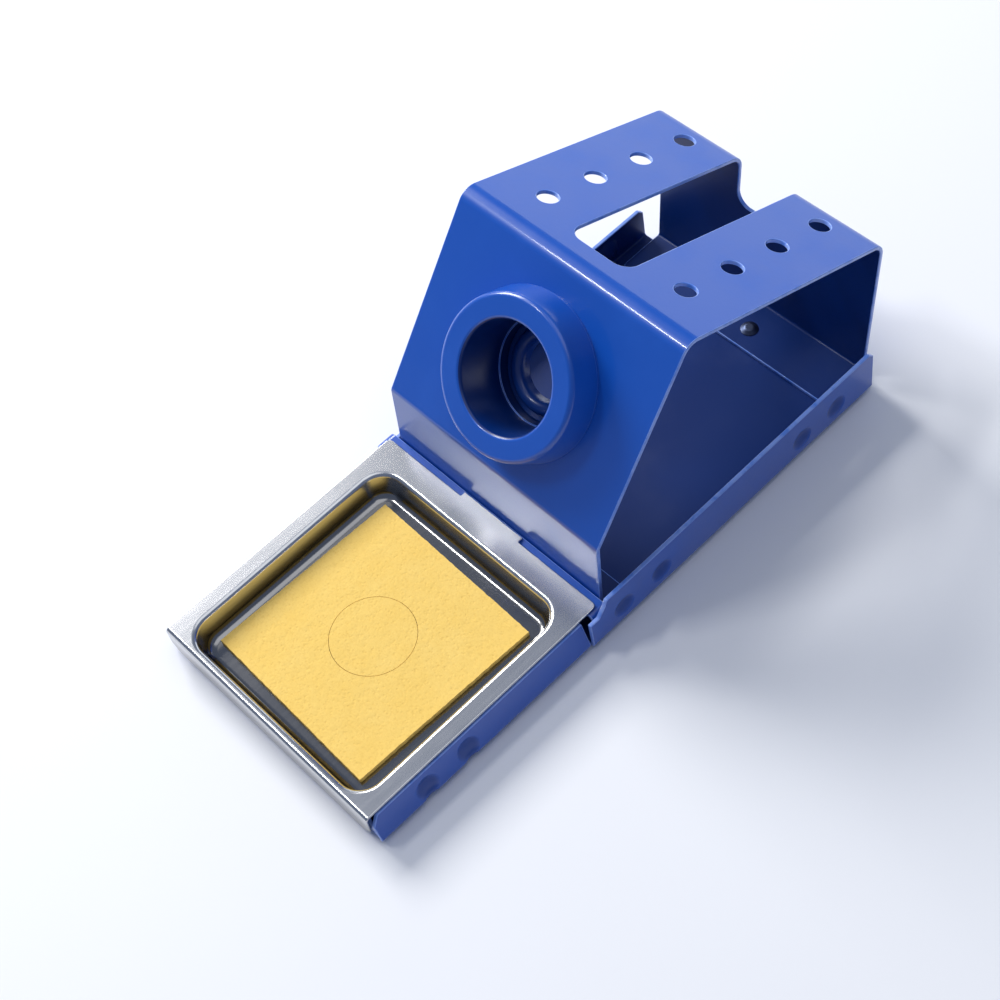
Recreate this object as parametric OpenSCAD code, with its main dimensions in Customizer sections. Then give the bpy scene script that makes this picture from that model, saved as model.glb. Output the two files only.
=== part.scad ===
// Soldering iron stand: a folded sheet base, a bent cover with a sloping
// socket for the iron, and a lift-out tray that holds a damp sponge.
// Millimetres, +Z up, the tray at -Y, the spare-tip plate at +Y.

/* [Base] */
// overall width across the side flanges
base_w = 88; // [80:1:100]
// how far the side flanges stop short of the cover's back foot
flange_setback = 2.8; // [1:0.1:8]
// height of the side flanges beside the cover
flange_h = 16.2; // [14:0.1:21]
// how far the low flanges beside the tray lean inward
flange_lean = 3; // [1:0.1:4]
// thickness of the painted sheet
sheet_t = 1.2; // [1:0.1:1.5]
// outside radius of the floor bends
bend_r = 1.8; // [1.7:0.1:3]
// radius of the pressed dimples in the flanges
dimple_r = 3.7; // [3:0.1:4]
// depth of the pressed dimples
dimple_depth = 0.9; // [0.4:0.1:1.1]
// height of the rubber feet below the floor
foot_h = 1.2; // [1:0.1:4]
// radius of the rubber feet
foot_r = 5; // [4:0.5:7]

/* [Cover] */
// gap between the cover's sides and the flanges
cover_gap = 3.8; // [2:0.1:6]
// lean of the front strip away from plumb, in degrees
strip_lean = 4.4; // [0:0.1:8]
// height of the bend between the strip and the incline
strip_top = 30.6; // [27:0.1:36]
// angle of the incline above level, in degrees
incline_angle = 52.1; // [46:0.1:60]
// length of the incline
incline_len = 60.9; // [56:0.1:68]
// fall of the top plate toward the rear, in degrees
top_fall = 22.1; // [15:0.1:26]
// length of the top plate
top_len = 77.8; // [70:0.1:84]
// lean of the back plate away from plumb, in degrees
back_lean = 7.3; // [0:0.1:9]
// outside radius of the bend under the incline
low_bend_r = 2.4; // [1.8:0.1:4]
// outside radius of the two upper bends
high_bend_r = 5; // [3:0.1:6]
// depth of the foot flange behind the slot
back_foot_len = 17; // [14:0.5:22]
// depth of the foot flange behind the front strip
front_foot_len = 10; // [9:0.5:14]

/* [Slot and tip holes] */
// width of the slot through the top plate
slot_w = 20.2; // [16:0.1:26]
// distance from the front bend to the slot
slot_start = 8.9; // [7:0.1:16]
// how far the slot runs down the back plate
slot_drop = 16.5; // [12:0.5:22]
// corner radius of the slot
slot_r = 4.5; // [2:0.1:6]
// diameter of the spare-tip holes
tip_hole_d = 5.9; // [4:0.1:8]
// distance from the front bend to the first tip hole
tip_first = 15.8; // [11:0.1:17]
// distance from the last tip hole to the rear bend
tip_last = 8.6; // [7.5:0.1:12]
// distance of each row of tip holes from the side edge
tip_edge = 15; // [9:0.1:18]

/* [Iron socket] */
// wall of the collar around the bore
collar_wall = 6.8; // [5:0.1:7]
// height of the collar above the incline
collar_h = 9.2; // [6:0.1:9.5]
// radius of the bore that takes the iron
collar_bore_r = 14.8; // [12:0.1:16]
// rounding of the collar rim
collar_round = 1.4; // [1:0.1:3.2]
// how far the socket sits below the middle of the incline
collar_drop = 0.5; // [0:0.1:1.5]
// extra radius of the seating flange around the collar
seat_margin = 1.3; // [0.8:0.1:1.6]
// thickness of the seating flange
seat_t = 0.7; // [0.5:0.1:1.2]
// wall of the collar tube
tube_wall = 2.2; // [1.6:0.1:2.4]
// radius of the bore through the inner ring
ring_bore_r = 8; // [6:0.1:9]
// gap between the rounded lip of the inner ring and the collar
ring_lip_gap = 2.2; // [1.5:0.1:3.5]
// depth of the ring lip behind the incline
ring_depth = 7; // [6:0.1:8]

/* [Tray] */
// how far the rim stops short of the outside of the flange tops
tray_inset = 0.5; // [0.2:0.1:0.8]
// length of the tray, front to rear
tray_len = 81.5; // [80:0.1:83]
// width of the rim on each side of the well
side_rim = 5.5; // [5:0.1:7]
// room between the front flange and the well's front wall
front_room = 0.45; // [0.4:0.05:1.5]
// depth of the rim behind the well
rear_rim = 7.8; // [6:0.1:10]
// corner radius of the well opening
well_corner = 7; // [6:0.1:8]
// how far the well walls slope inward
well_draft = 1.6; // [1:0.1:1.8]
// height of the rim above the base bottom
rim_top = 10.75; // [10.5:0.05:13]
// thickness of the tray sheet
tray_t = 0.8; // [0.6:0.1:0.9]
// gap between the tray bottom and the base floor
tray_gap = 0.4; // [0.2:0.1:0.8]
// height of the apron's lower edge above the base bottom
apron_low = 1.15; // [0.5:0.05:4]
// width of the rear tab
tab_w = 22.6; // [16:0.2:30]
// how far the rear tab stands out
tab_out = 1.6; // [0.4:0.1:1.7]

/* [Sponge] */
// mean gap between the sponge and each side of the well
sponge_side_gap = 5.55; // [5:0.05:9]
// mean gap between the sponge and each end of the well
sponge_end_gap = 6.05; // [5.5:0.05:9]
// thickness of the sponge
sponge_t = 1.8; // [1.5:0.1:8]
// how far the sponge lies right of the middle of the well
sponge_x = -0.6; // [-1.6:0.1:1.6]
// how far the sponge lies in front of the middle of the well
sponge_ahead = 0.4; // [-2.4:0.1:2.4]
// small turn of the sponge in the well, in degrees
sponge_turn = -1.6; // [-1.6:0.1:1.6]
// radius of the die-cut disc
disc_r = 11.9; // [9:0.1:14]
// gap around the die-cut disc
disc_gap = 0.3; // [0.2:0.05:0.6]

/* [Hidden] */
half_w = base_w / 2;
half_cover = half_w - sheet_t - cover_gap;
cover_w = 2 * half_cover;
half_tray = half_w - flange_lean - tray_inset;
tray_w = 2 * half_tray;
well_w = tray_w - 2 * side_rim;
flange_gap = 0.25;
front_flange_y = tray_t + flange_gap;
front_rim = front_flange_y + sheet_t + front_room;
well_len = tray_len - front_rim - rear_rim;

bend_ease = 0.01;

// low flanges beside the tray
seat_gap = 0.05;
low_flange_h = rim_top - tray_t - seat_gap;
lean_angle = atan(flange_lean / low_flange_h);
low_start = 0.9;
low_end = tray_len - 6.4;
low_tip = 1;
low_tip_z = low_flange_h - 2.8;
low_chamfer_y = 2.4;
low_chamfer_z = 2.9;
seam_w = 0.5;

// high flanges beside the cover
high_start = low_end + seam_w;
high_step_z = low_flange_h + 1.2;
high_slope_y = tray_len - 2.8;
high_rise_y = tray_len - 0.4;
flange_chamfer = 1.6;

// the left high flange stays low beside the strip, then rises to its own height
left_low_h = 4.2;
left_flange_h = flange_h - 3.8;
left_rise_y = tray_len + 6.5;
left_cut_y = low_end - 0.2;

// front flange behind the tray apron
slit_w = 1.2;
slit_depth = 3.4;
front_flange_h = low_flange_h - 1.9;
front_half = half_w - sheet_t - slit_w - 0.4;
front_flange_taper = flange_lean * 0.8;

// pressed dimples: heights and places along the flanges
low_dimple_z = low_flange_h / 2;
high_dimple_z = 6.9;
low_dimples = [18.1, 32.2];
dimple_ball = (dimple_r * dimple_r + dimple_depth * dimple_depth) / (2 * dimple_depth);

// cross bar between the tray and the cover
bar_front = tray_len - 3.4;
tab_gap = 0.5;
bar_rear = tray_len + tab_out + tab_gap;
bar_top = low_flange_h;
bar_half = half_w - sheet_t - 0.1;
bar_bend_r = 2.6;

// side view of the cover: its outer faces meet at these points
strip_gap = 0.3;
strip_y = bar_rear + strip_gap - (bar_top - sheet_t) * tan(strip_lean);
foot_bend_r = 2;
front_foot = [strip_y, sheet_t];
low_corner = [strip_y + (strip_top - sheet_t) * tan(strip_lean), strip_top];
high_corner = low_corner + incline_len * [cos(incline_angle), sin(incline_angle)];
rear_corner = high_corner + top_len * [cos(top_fall), -sin(top_fall)];
back_foot = [rear_corner[0] - (rear_corner[1] - sheet_t) * tan(back_lean), sheet_t];
cover_path = [front_foot + [front_foot_len, 0], front_foot, low_corner, high_corner,
              rear_corner, back_foot, back_foot - [back_foot_len, 0]];
cover_bends = [0, foot_bend_r, low_bend_r, high_bend_r, high_bend_r, foot_bend_r, 0];
tongue_end = back_foot[0] + 1.4;
base_len = back_foot[0] - flange_setback;
high_dimples = [tray_len + 6.1, tray_len + 20.1, base_len - 29.2, base_len - 15.3];

// tip holes in the top plate
tip_hole_count = 4;
tip_pitch = (top_len - tip_first - tip_last) / (tip_hole_count - 1);
tip_row_x = half_cover - tip_edge;

// iron socket, in the middle of the flat of the incline
collar_r = collar_bore_r + collar_wall;
low_bend_reach = low_bend_r * tan((90 - strip_lean - incline_angle) / 2);
high_bend_reach = high_bend_r * tan((incline_angle + top_fall) / 2);
socket_along = (low_bend_reach + incline_len - high_bend_reach) / 2 - collar_drop;
collar_spot = low_corner + socket_along * [cos(incline_angle), sin(incline_angle)];
tube_r = collar_bore_r + tube_wall;
fit_gap = 0.05;
washer_t = 0.8;
nut_h = 3.6;
nut_w = 4.1;
nut_notch = 3;
ring_web_t = 1.8;
ring_h = 4.2;
tube_tail = ring_depth + ring_h + 1.5;
bore_edge_r = 1.2;
stop_step = 0.4;
stop_depth = ring_depth - 0.5;
ring_seat_r = collar_bore_r - stop_step;
ring_r = ring_seat_r - fit_gap;
ring_lip_r = (ring_r - ring_lip_gap - ring_bore_r) / 2;

// tray and sponge
well_floor = sheet_t + tray_gap + tray_t;
well_mid_y = front_rim + well_len / 2;
apron_bend_r = 1.4;
apron_chamfer = 3;
rim_corner = 1.6;
sponge_w = well_w - 2 * sponge_side_gap;
sponge_len = well_len - 2 * sponge_end_gap;

// rivets through the foot flanges and the floor
rivet_r = 1.6;
rivet_head_r = 2.9;
rivet_head_h = 1;
rivet_tail_h = 0.7;
back_rivet_x = 5.5;
front_rivet_x = half_cover - 13;
back_rivet_y = back_foot[0] - back_foot_len / 2 - foot_bend_r;
front_rivet_y = strip_y + (front_foot_len + foot_bend_r) / 2;
rivet_spots = [[back_rivet_x, back_rivet_y], [-back_rivet_x, back_rivet_y],
               [front_rivet_x, front_rivet_y], [-front_rivet_x, front_rivet_y]];

// rubber feet
foot_x = half_w - 9;
foot_spots = [[foot_x, 14], [-foot_x, 14], [foot_x, base_len - 19], [-foot_x, base_len - 19]];
foot_round = min(0.5, foot_h / 2);

// the middle of the whole stand, front to rear
rear_end = bend_centre(high_corner, rear_corner, back_foot, high_bend_r)[0] + high_bend_r;

// ---- bent sheet ----------------------------------------------------------

function unit(v) = v / norm(v);

// the unit normal on the right-hand side of the step from p to q
function right_of(p, q) = [unit(q - p)[1], -unit(q - p)[0]];

// a bend at b between a and c: half its inside angle, its arc centre,
// and the point where the arc meets the face toward a or c
function half_angle(a, b, c) = acos(unit(a - b) * unit(c - b)) / 2;
function bend_centre(a, b, c, r) = b + unit(unit(a - b) + unit(c - b)) * r / sin(half_angle(a, b, c));
function bend_edge(a, b, c, r) = b + unit(a - b) * r / tan(half_angle(a, b, c));

// the area inside a folded path, moved inward by t and run on past its ends
module inside_path(path, radii, t, run_on, closing) {
    last = len(path) - 1;
    first_way = unit(path[0] - path[1]);
    last_way = unit(path[last] - path[last - 1]);
    first_in = right_of(path[0], path[1]);
    last_in = right_of(path[last - 1], path[last]);
    difference() {
        polygon(concat(
            [path[0] + first_way * run_on + first_in * t],
            [for (i = [1 : last - 1])
                let (mid = bend_centre(path[i - 1], path[i], path[i + 1], radii[i]))
                mid + (path[i] - mid) * (radii[i] - t) / radii[i]],
            [path[last] + last_way * run_on + last_in * t],
            closing == 0 ? [] : [path[last] + last_in * (t + closing), path[0] + first_in * (t + closing)]));
        for (i = [1 : last - 1])
            bend_tip(path[i - 1], path[i], path[i + 1], radii[i], t);
    }
}

// what a rounded bend takes off a sharp corner; the arc stands proud of the
// flat faces by bend_ease, so it crosses them instead of only touching them
module bend_tip(a, b, c, r, t) {
    mid = bend_centre(a, b, c, r);
    reach = 1.5 * (r - t) / r;
    difference() {
        polygon([mid, mid + (bend_edge(a, b, c, r) - mid) * reach,
                 mid + (b - mid) * reach, mid + (bend_edge(c, b, a, r) - mid) * reach]);
        translate(mid)
            circle(r = r - t + bend_ease, $fn = 64);
    }
}

// sheet of thickness t that follows a path turning to the right
module folded_sheet(path, radii, t) {
    difference() {
        inside_path(path, radii, 0, 0, t);
        inside_path(path, radii, t, 20, 0);
    }
}

// extrude a side view (y, z) across x, centred
module across(width) {
    rotate([90, 0, 90])
        translate([0, 0, -width / 2])
            linear_extrude(height = width)
                children();
}

// extrude an end view (x, z) from one y to another
module along(from_y, to_y) {
    translate([0, to_y, 0])
        rotate([90, 0, 0])
            linear_extrude(height = to_y - from_y)
                children();
}

module both_sides() {
    children();
    mirror([1, 0, 0])
        children();
}

// ---- places --------------------------------------------------------------

// floor level and the middle of the stand become the origin
module placed() {
    translate([0, -rear_end / 2, foot_h])
        children();
}

// on the incline at the socket, z standing away from the sheet
module on_incline() {
    translate([0, collar_spot[0], collar_spot[1]])
        rotate([incline_angle, 0, 0])
            children();
}

// on the top plate, y running down it from the front bend
module on_top_plate() {
    translate([0, high_corner[0], high_corner[1]])
        rotate([-top_fall, 0, 0])
            children();
}

// on the back plate, y running down it from the rear bend
module on_back_plate() {
    translate([0, rear_corner[0], rear_corner[1]])
        rotate([-90 - back_lean, 0, 0])
            children();
}

// ---- shapes --------------------------------------------------------------

module rounded_rect(size_x, size_y, r) {
    square([size_x - 2 * r, size_y], center = true);
    square([size_x, size_y - 2 * r], center = true);
    for (x = [-1, 1])
        for (y = [-1, 1])
            translate([x * (size_x / 2 - r), y * (size_y / 2 - r)])
                circle(r = r, $fn = 64);
}

// a pan with sloping walls, measured at its top
module sloped_pan(size_x, size_y, r, draft, h) {
    centre_x = size_x / 2 - r;
    centre_y = size_y / 2 - r;
    for (x = [-1, 1])
        for (y = [-1, 1])
            translate([x * centre_x, y * centre_y, 0])
                cylinder(r1 = r - draft, r2 = r, h = h, $fn = 64);
    across(2 * centre_x)
        polygon([[-size_y / 2 + draft, 0], [size_y / 2 - draft, 0],
                 [size_y / 2, h], [-size_y / 2, h]]);
    along(-centre_y, centre_y)
        polygon([[-size_x / 2 + draft, 0], [size_x / 2 - draft, 0],
                 [size_x / 2, h], [-size_x / 2, h]]);
}

// the end of the slot: two rounded corners at y = 0, eased to cross the straight
// sides that start at y = slot_r
module slot_end() {
    translate([slot_r - slot_w / 2, 0])
        square([slot_w - 2 * slot_r, slot_r + 1]);
    for (x = [-1, 1])
        translate([x * (slot_w / 2 - slot_r), slot_r])
            circle(r = slot_r + bend_ease, $fn = 64);
}

// the straight part of the slot, over the rear bend and down the back plate
module slot_run() {
    top_way = [cos(top_fall), -sin(top_fall)];
    top_out = [sin(top_fall), cos(top_fall)];
    back_way = [-sin(back_lean), -cos(back_lean)];
    back_out = [cos(back_lean), -sin(back_lean)];
    top_end = high_corner + (slot_start + slot_r) * top_way;
    back_end = rear_corner + (slot_drop - slot_r) * back_way;
    across(slot_w)
        polygon([top_end + 2 * top_out, rear_corner + 2 * (top_out + back_out),
                 back_end + 2 * back_out, back_end - 3 * back_out,
                 rear_corner - high_bend_r * (top_out + back_out), top_end - 3 * top_out]);
}

// ---- base ----------------------------------------------------------------

module low_outline() {
    polygon([[low_start, -1], [low_start, low_flange_h - low_chamfer_z],
             [low_start + low_chamfer_y, low_flange_h], [low_end + low_tip, low_flange_h],
             [low_end, low_tip_z], [low_end, -1]]);
}

module high_outline() {
    polygon([[high_start, sheet_t], [high_start, high_step_z],
             [high_slope_y, high_step_z], [high_rise_y, high_step_z + 3],
             [tray_len + 0.5, flange_h], [base_len - flange_chamfer, flange_h],
             [base_len, flange_h - flange_chamfer], [base_len, -1], [low_end - 1, -1],
             [low_end - 1, sheet_t]]);
}

module low_channel() {
    intersection() {
        along(low_start, low_end + low_tip)
            folded_sheet([[half_w - flange_lean, low_flange_h], [half_w, 0],
                          [-half_w, 0], [flange_lean - half_w, low_flange_h]],
                         [0, bend_r, bend_r, 0], sheet_t);
        across(base_w)
            low_outline();
    }
}

module high_channel() {
    intersection() {
        along(low_end - 1, base_len)
            folded_sheet([[half_w, flange_h], [half_w, 0], [-half_w, 0], [-half_w, flange_h]],
                         [0, bend_r, bend_r, 0], sheet_t);
        across(base_w)
            high_outline();
    }
}

module left_flange_cut() {
    translate([-half_w, 0, 0])
        across(half_w)
            polygon([[left_cut_y, left_low_h], [left_rise_y, left_low_h],
                     [left_rise_y + 3.4, left_flange_h], [base_len - flange_chamfer, left_flange_h],
                     [base_len + 1, left_flange_h - flange_chamfer - 1],
                     [base_len + 1, flange_h + 2], [left_cut_y, flange_h + 2]]);
}

module front_flange() {
    intersection() {
        across(2 * front_half)
            folded_sheet([[slit_depth + 2, 0], [front_flange_y, 0], [front_flange_y, front_flange_h]],
                         [0, bend_r, 0], sheet_t);
        along(0, slit_depth + 3)
            polygon([[-front_half, 0], [front_half, 0], [front_half, sheet_t],
                     [front_half - front_flange_taper, front_flange_h],
                     [front_flange_taper - front_half, front_flange_h], [-front_half, sheet_t]]);
    }
}

// a dimple on the right flange, pressed inward
module dimple_place(y, z, lean) {
    translate([half_w, y, 0])
        rotate([0, -lean, 0])
            translate([dimple_ball - dimple_depth, 0, z])
                children();
}

module dimple_bump(y, z, lean) {
    dimple_place(y, z, lean)
        intersection() {
            sphere(r = dimple_ball + sheet_t, $fn = 96);
            translate([-dimple_ball - sheet_t - 0.1, 0, 0])
                rotate([0, 90, 0])
                    cylinder(r = dimple_r + 0.5, h = dimple_depth + sheet_t / 2, $fn = 64);
        }
}

module dimple_cut(y, z, lean) {
    dimple_place(y, z, lean)
        sphere(r = dimple_ball, $fn = 96);
}

module base_channel() {
    color("royalblue")
    placed()
        difference() {
            union() {
                difference() {
                    union() {
                        low_channel();
                        high_channel();
                    }
                    left_flange_cut();
                    translate([-front_half - slit_w, 0, -1])
                        cube([2 * (front_half + slit_w), slit_depth, low_flange_h + 2]);
                }
                front_flange();
                translate([-half_cover, base_len - 1, 0])
                    cube([cover_w, tongue_end - base_len + 1, sheet_t]);
                both_sides() {
                    for (y = low_dimples)
                        dimple_bump(y, low_dimple_z, lean_angle);
                    for (i = [1 : len(high_dimples) - 1])
                        dimple_bump(high_dimples[i], high_dimple_z, 0);
                }
                dimple_bump(high_dimples[0], high_dimple_z, 0);
            }
            both_sides() {
                for (y = low_dimples)
                    dimple_cut(y, low_dimple_z, lean_angle);
                for (i = [1 : len(high_dimples) - 1])
                    dimple_cut(high_dimples[i], high_dimple_z, 0);
            }
            dimple_cut(high_dimples[0], high_dimple_z, 0);
            for (spot = rivet_spots)
                translate([spot[0], spot[1], -1])
                    cylinder(r = rivet_r, h = sheet_t + 2, $fn = 32);
        }
}

module cross_bar() {
    color("mediumblue")
    placed()
        along(bar_front, bar_rear)
            folded_sheet([[-bar_half, sheet_t], [-bar_half, bar_top], [bar_half, bar_top], [bar_half, sheet_t]],
                         [0, bar_bend_r, bar_bend_r, 0], sheet_t);
}

module rubber_feet() {
    color("black")
    placed()
        for (spot = foot_spots)
            translate([spot[0], spot[1], -foot_h])
                rotate_extrude($fn = 64) {
                    square([foot_r - foot_round, foot_h]);
                    translate([0, foot_round])
                        square([foot_r, foot_h - foot_round]);
                    translate([foot_r - foot_round, foot_round])
                        circle(r = foot_round, $fn = 32);
                }
}

// ---- cover ---------------------------------------------------------------

module cover() {
    color("royalblue")
    placed()
        difference() {
            across(cover_w)
                difference() {
                    folded_sheet(cover_path, cover_bends, sheet_t);
                    translate([front_foot[0] + front_foot_len, 0])
                        square([back_foot[0] - front_foot[0] - front_foot_len - back_foot_len, 3 * sheet_t]);
                }
            on_top_plate() {
                translate([0, slot_start, -3])
                    linear_extrude(height = 5)
                        slot_end();
                for (i = [0 : tip_hole_count - 1])
                    for (x = [-tip_row_x, tip_row_x])
                        translate([x, tip_first + i * tip_pitch, -2 * sheet_t])
                            cylinder(d = tip_hole_d, h = 3 * sheet_t, $fn = 48);
            }
            on_back_plate()
                translate([0, slot_drop, -3])
                    linear_extrude(height = 5)
                        mirror([0, 1])
                            slot_end();
            slot_run();
            on_incline()
                translate([0, 0, -2 * sheet_t])
                    cylinder(r = tube_r + fit_gap, h = 3 * sheet_t, $fn = 96);
            for (spot = rivet_spots)
                translate([spot[0], spot[1], 0])
                    cylinder(r = rivet_r, h = 3 * sheet_t, $fn = 32);
        }
}

// rivets with a domed head above the foot flange and a flat head below
module floor_rivets() {
    dome = (rivet_head_r * rivet_head_r + rivet_head_h * rivet_head_h) / (2 * rivet_head_h);
    color("silver")
    placed()
        for (spot = rivet_spots)
            translate([spot[0], spot[1], 0]) {
                translate([0, 0, -rivet_tail_h])
                    cylinder(r = rivet_head_r, h = rivet_tail_h, $fn = 48);
                cylinder(r = rivet_r, h = 2 * sheet_t, $fn = 32);
                translate([0, 0, 2 * sheet_t])
                    intersection() {
                        translate([0, 0, rivet_head_h - dome])
                            sphere(r = dome, $fn = 96);
                        cylinder(r = rivet_head_r + 1, h = rivet_head_h + 1, $fn = 48);
                    }
            }
}

// ---- iron socket ---------------------------------------------------------

module socket_collar() {
    color("royalblue")
    placed()
        on_incline()
            rotate_extrude($fn = 96) {
                polygon([[ring_seat_r, -tube_tail], [tube_r, -tube_tail], [tube_r, 0],
                         [collar_r + seat_margin, 0], [collar_r + seat_margin, seat_t],
                         [collar_r, collar_h - collar_round],
                         [collar_r - collar_round, collar_h],
                         [collar_bore_r + bore_edge_r, collar_h],
                         [collar_bore_r, collar_h - bore_edge_r],
                         [collar_bore_r, -stop_depth], [ring_seat_r, -stop_depth]]);
                translate([collar_r - collar_round, collar_h - collar_round])
                    circle(r = collar_round, $fn = 64);
                translate([collar_bore_r + bore_edge_r, collar_h - bore_edge_r])
                    circle(r = bore_edge_r, $fn = 48);
            }
}

module socket_ring() {
    color("royalblue")
    placed()
        on_incline()
            rotate_extrude($fn = 96) {
                translate([ring_bore_r, -ring_depth - ring_h])
                    square([ring_r - ring_bore_r, ring_web_t]);
                translate([ring_bore_r, -ring_depth - ring_h])
                    square([2 * ring_lip_r, ring_h - ring_lip_r]);
                translate([ring_bore_r + ring_lip_r, -ring_depth - ring_lip_r])
                    circle(r = ring_lip_r, $fn = 64);
            }
}

module socket_washer() {
    color("dimgray")
    placed()
        on_incline()
            translate([0, 0, -sheet_t - washer_t])
                difference() {
                    cylinder(r = tube_r + nut_w + 1, h = washer_t, $fn = 96);
                    translate([0, 0, -1])
                        cylinder(r = tube_r + fit_gap, h = washer_t + 2, $fn = 96);
                }
}

module socket_nut() {
    color("silver")
    placed()
        on_incline()
            translate([0, 0, -sheet_t - washer_t - nut_h])
                difference() {
                    cylinder(r = tube_r + nut_w, h = nut_h, $fn = 96);
                    translate([0, 0, -1])
                        cylinder(r = tube_r + fit_gap, h = nut_h + 2, $fn = 96);
                    for (turn = [0 : 60 : 300])
                        rotate([0, 0, turn])
                            translate([tube_r + nut_w - 1.4, -nut_notch / 2, -1])
                                cube([nut_notch, nut_notch, nut_h + 2]);
                }
}

// ---- tray and sponge -----------------------------------------------------

module rim_outline() {
    translate([-half_tray, apron_bend_r])
        square([tray_w, tray_len - rim_corner - apron_bend_r]);
    translate([rim_corner - half_tray, apron_bend_r])
        square([tray_w - 2 * rim_corner, tray_len - apron_bend_r]);
    for (x = [-1, 1])
        translate([x * (half_tray - rim_corner), tray_len - rim_corner])
            circle(r = rim_corner, $fn = 64);
    translate([-tab_w / 2, tray_len - 1])
        square([tab_w, tab_out + 1]);
}

module apron() {
    intersection() {
        across(tray_w)
            folded_sheet([[0, apron_low], [0, rim_top], [apron_bend_r + 1, rim_top]],
                         [0, apron_bend_r, 0], tray_t);
        along(-1, apron_bend_r + 1)
            polygon([[apron_chamfer - half_tray, apron_low], [half_tray - apron_chamfer, apron_low],
                     [half_tray, apron_low + apron_chamfer], [half_tray, rim_top],
                     [-half_tray, rim_top], [-half_tray, apron_low + apron_chamfer]]);
    }
}

module sponge_tray() {
    wall_h = rim_top - well_floor + tray_t;
    color("lightgray")
    placed()
        difference() {
            union() {
                translate([0, 0, rim_top - tray_t])
                    linear_extrude(height = tray_t)
                        rim_outline();
                apron();
                translate([0, well_mid_y, well_floor - tray_t])
                    sloped_pan(well_w + 2 * tray_t, well_len + 2 * tray_t, well_corner + tray_t,
                               well_draft, wall_h);
            }
            translate([0, well_mid_y, well_floor])
                sloped_pan(well_w, well_len, well_corner, well_draft, wall_h - tray_t);
            translate([0, well_mid_y, rim_top - 0.01])
                linear_extrude(height = 1)
                    rounded_rect(well_w, well_len, well_corner);
        }
}

module in_well() {
    placed()
        translate([sponge_x, well_mid_y - sponge_ahead, well_floor])
            rotate([0, 0, sponge_turn])
                children();
}

module sponge_pad() {
    color("khaki")
    in_well()
        linear_extrude(height = sponge_t)
            difference() {
                square([sponge_w, sponge_len], center = true);
                circle(r = disc_r + disc_gap, $fn = 96);
            }
}

module sponge_disc() {
    color("khaki")
    in_well()
        cylinder(r = disc_r, h = sponge_t, $fn = 96);
}

base_channel();
cross_bar();
cover();
floor_rivets();
socket_collar();
socket_ring();
socket_washer();
socket_nut();
rubber_feet();
sponge_tray();
sponge_pad();
sponge_disc();
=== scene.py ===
"""Looks of the soldering iron stand: folded blue sheet, iron socket, steel tray and damp sponge."""
import math

import bpy
import numpy as np
from mathutils import Matrix, Vector, noise
from mathutils.geometry import delaunay_2d_cdt


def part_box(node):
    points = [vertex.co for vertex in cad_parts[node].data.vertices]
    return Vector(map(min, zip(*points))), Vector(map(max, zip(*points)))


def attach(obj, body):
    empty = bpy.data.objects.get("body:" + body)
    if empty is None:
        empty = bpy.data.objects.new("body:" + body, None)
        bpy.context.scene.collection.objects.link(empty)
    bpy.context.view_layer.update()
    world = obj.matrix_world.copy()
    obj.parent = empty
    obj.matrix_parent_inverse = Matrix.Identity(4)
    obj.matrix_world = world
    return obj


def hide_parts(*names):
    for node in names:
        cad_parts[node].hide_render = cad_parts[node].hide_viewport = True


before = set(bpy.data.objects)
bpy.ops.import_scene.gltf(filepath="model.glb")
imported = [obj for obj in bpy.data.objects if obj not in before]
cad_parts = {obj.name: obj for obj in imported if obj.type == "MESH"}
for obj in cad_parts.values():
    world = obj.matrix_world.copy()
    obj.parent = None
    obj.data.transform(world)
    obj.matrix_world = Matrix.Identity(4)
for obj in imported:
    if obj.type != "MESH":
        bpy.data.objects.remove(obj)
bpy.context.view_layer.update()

MM = 0.001

# ---- sizes of the stand, in millimetres ------------------------------------
# y runs back from the tray front, z up from the underside of the base floor.
# HALF_... is half of a width, ..._R a radius, ..._T a thickness and ..._H a height.

# base
HALF_W = 44.0
SHEET_T = 1.2
FLANGE_H = 16.2
FLANGE_LEAN = 3.0
LEFT_FLANGE_H = FLANGE_H - 3.8
LEFT_LOW_H = 4.2
FLOOR_BEND = 1.8
FOOT_H = 1.2

# rim of the tray, which sets the height of the low flanges
TRAY_LEN = 81.5
TAB_OUT = 1.6
RIM_TOP = 10.75
TRAY_T = 0.8
SEAT_GAP = 0.05
LOW_FLANGE_H = RIM_TOP - TRAY_T - SEAT_GAP
LEAN = math.atan(FLANGE_LEAN / LOW_FLANGE_H)

# cross bar
BAR_FRONT = TRAY_LEN - 3.4
BAR_REAR = TRAY_LEN + TAB_OUT + 0.5
BAR_HALF = HALF_W - SHEET_T - 0.1
BAR_BEND = 2.6

# bent cover: its strip, incline, top and back, and the holes in the top
HALF_COVER = 39.0
STRIP_LEAN = math.radians(4.4)
INCLINE = math.radians(52.1)
TOP_FALL = math.radians(22.1)
BACK_LEAN = math.radians(7.3)
STRIP_TOP = 30.6
INCLINE_LEN = 60.9
TOP_LEN = 77.8
LOW_BEND = 2.4
HIGH_BEND = 5.0
FOOT_BEND = 2.0
FRONT_FOOT = 10.0
BACK_FOOT = 17.0
SLOT_HALF = 10.1
SLOT_START = 8.9
SLOT_DROP = 16.5
SLOT_R = 4.5
TIP_HOLE_R = 2.95
TIP_ROW_X = 24.0
TIP_PLACES = [15.8 + 17.8 * i for i in range(4)]

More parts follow.
